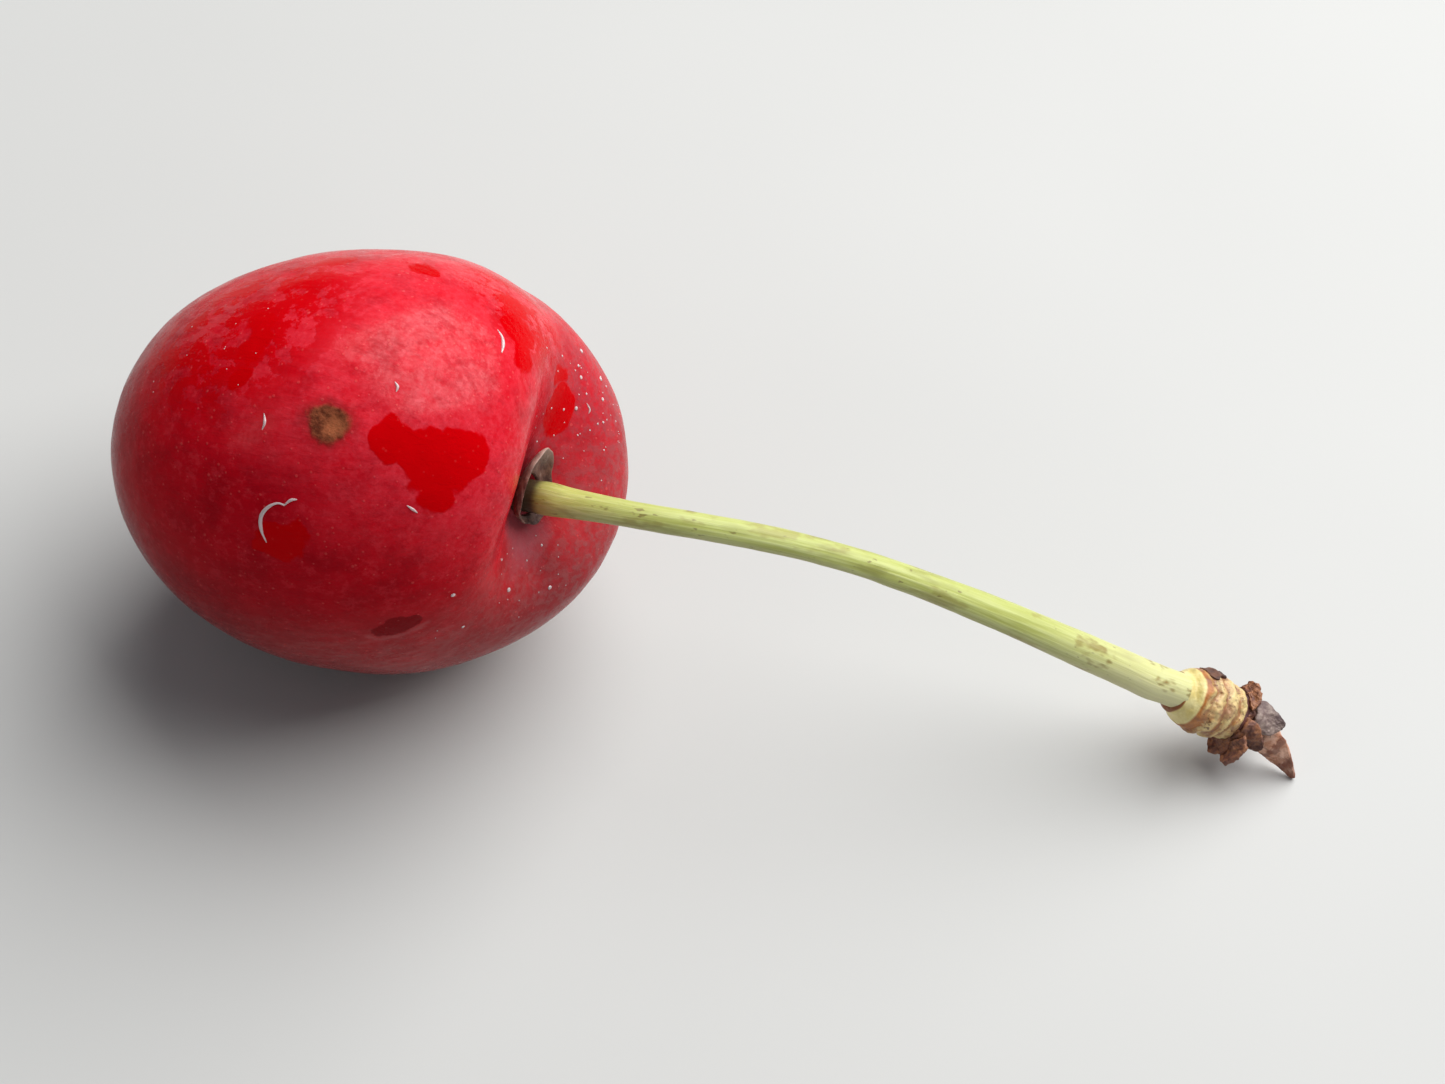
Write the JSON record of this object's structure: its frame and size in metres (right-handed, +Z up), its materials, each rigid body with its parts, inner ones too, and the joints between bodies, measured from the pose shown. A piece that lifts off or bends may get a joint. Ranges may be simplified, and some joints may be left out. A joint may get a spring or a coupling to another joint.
{
  "type": "sweet cherry on its stalk",
  "caption": "Sweet cherry lying on its cheek, with a slender arching stalk that ends in a knobbly spur stub and dry bud scales.",
  "frame": {"origin": "middle of the small flat on which the fruit rests on the surface", "axes": "+Z up from the surface, +X the way the stalk points, +Y across, to the side where the suture lies"},
  "size_m": [0.068, 0.0254, 0.0282],
  "materials": {
    "skin": "thin waxy skin, wet and glossy, crimson with fine pale dots",
    "flower_cup": "dry and papery",
    "stalk": "satin plant skin with fine lengthwise streaks",
    "spur_stub": "young bark, wrinkled, cream and orange-brown",
    "bud_scale": "dry, papery, purple-brown"
  },
  "bodies": {
    "root": {"fruit": "skin", "flower_cup": "flower_cup", "stalk": "stalk", "spur_stub": "spur_stub", "bud_scale_upright": "bud_scale", "bud_scale_near": "bud_scale", "bud_scale_lower": "bud_scale", "bud_scale_under": "bud_scale", "bud_scale_long": "bud_scale", "bud_scale_back": "bud_scale"}
  },
  "joints": []
}
